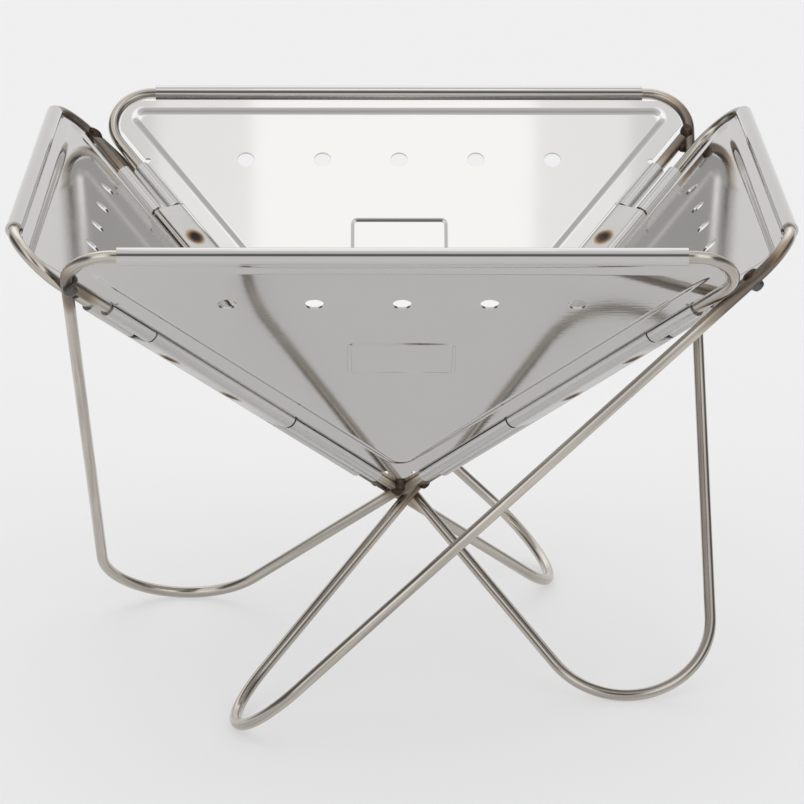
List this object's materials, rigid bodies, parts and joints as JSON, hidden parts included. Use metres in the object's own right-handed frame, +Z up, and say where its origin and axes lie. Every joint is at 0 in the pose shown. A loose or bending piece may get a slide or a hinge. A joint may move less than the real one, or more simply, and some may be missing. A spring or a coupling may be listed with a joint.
{
  "type": "folding fire pit",
  "caption": "Free-standing folding fire pit: hinged triangular steel panels form an inverted pyramid, and bent wires make its rails, legs and feet.",
  "frame": {"origin": "on the ground under the apex of the bowl", "axes": "+Z up; the front panel faces -Y and the right panel +X"},
  "size_m": [0.455, 0.455, 0.3132],
  "materials": {
    "sheet_steel": "bright satin stainless sheet",
    "rod_steel": "drawn stainless rod, heat tinted near the welds",
    "weld_metal": "dark heat-tinted weld"
  },
  "bodies": {
    "front_panel": {"front_sheet": "sheet_steel", "front_wire_frame": "rod_steel", "front_side_rod": "rod_steel", "front_weld_beads": "weld_metal"},
    "right_panel": {"right_sheet": "sheet_steel", "right_wire_frame": "rod_steel", "right_side_rod": "rod_steel", "right_weld_beads": "weld_metal"},
    "back_panel": {"back_sheet": "sheet_steel", "back_wire_frame": "rod_steel", "back_side_rod": "rod_steel", "back_weld_beads": "weld_metal"},
    "left_panel": {"left_sheet": "sheet_steel", "left_wire_frame": "rod_steel", "left_side_rod": "rod_steel", "left_weld_beads": "weld_metal", "left_strap_sleeve": "sheet_steel"},
    "front_right_strap": {"front_right_hinge_strap": "sheet_steel", "front_right_spot_welds": "weld_metal"},
    "back_right_strap": {"back_right_hinge_strap": "sheet_steel", "back_right_spot_welds": "weld_metal"},
    "back_left_strap": {"back_left_hinge_strap": "sheet_steel", "back_left_spot_welds": "weld_metal"},
    "front_left_strap": {"front_left_hinge_strap": "sheet_steel", "front_left_spot_welds": "weld_metal"}
  },
  "joints": [
    {"name": "front_right_fold", "type": "hinge", "parent": "front_panel", "child": "front_right_strap", "pos_m": [0.06601, -0.07733, 0.17046], "axis": [-0.5872, 0.5872, -0.5572], "range_deg": [0, 36.9]},
    {"name": "right_panel_hinge", "type": "hinge", "parent": "front_right_strap", "child": "right_panel", "pos_m": [0.07733, -0.06601, 0.17046], "axis": [0.5872, -0.5872, 0.5572], "range_deg": [0, 12.31]},
    {"name": "back_right_fold", "type": "hinge", "parent": "right_panel", "child": "back_right_strap", "pos_m": [0.07733, 0.06601, 0.17046], "axis": [0.5872, 0.5872, 0.5572], "range_deg": [0, 30.65]},
    {"name": "back_panel_hinge", "type": "hinge", "parent": "back_right_strap", "child": "back_panel", "pos_m": [0.06601, 0.07733, 0.17046], "axis": [0.5872, 0.5872, 0.5572], "range_deg": [0, 1.62]},
    {"name": "back_left_fold", "type": "hinge", "parent": "back_panel", "child": "back_left_strap", "pos_m": [-0.06601, 0.07733, 0.17046], "axis": [0.5872, -0.5872, -0.5572], "range_deg": [0, 36.01]},
    {"name": "front_left_fold", "type": "hinge", "parent": "front_panel", "child": "front_left_strap", "pos_m": [-0.06601, -0.07733, 0.17046], "axis": [0.5872, 0.5872, -0.5572], "range_deg": [0, 6.01]},
    {"name": "left_panel_hinge", "type": "hinge", "parent": "front_left_strap", "child": "left_panel", "pos_m": [-0.07733, -0.06601, 0.17046], "axis": [0.5872, 0.5872, -0.5572], "range_deg": [0, 24.01]}
  ],
  "couplings": [
    {"joint": "right_panel_hinge", "follows": "front_right_fold", "ratio": 0.33333},
    {"joint": "back_right_fold", "follows": "front_right_fold", "ratio": 0.83028},
    {"joint": "back_panel_hinge", "follows": "front_right_fold", "ratio": 0.043699},
    {"joint": "back_left_fold", "follows": "front_right_fold", "ratio": 0.97561},
    {"joint": "front_left_fold", "follows": "front_right_fold", "ratio": 0.1626},
    {"joint": "left_panel_hinge", "follows": "front_right_fold", "ratio": 0.65041}
  ]
}
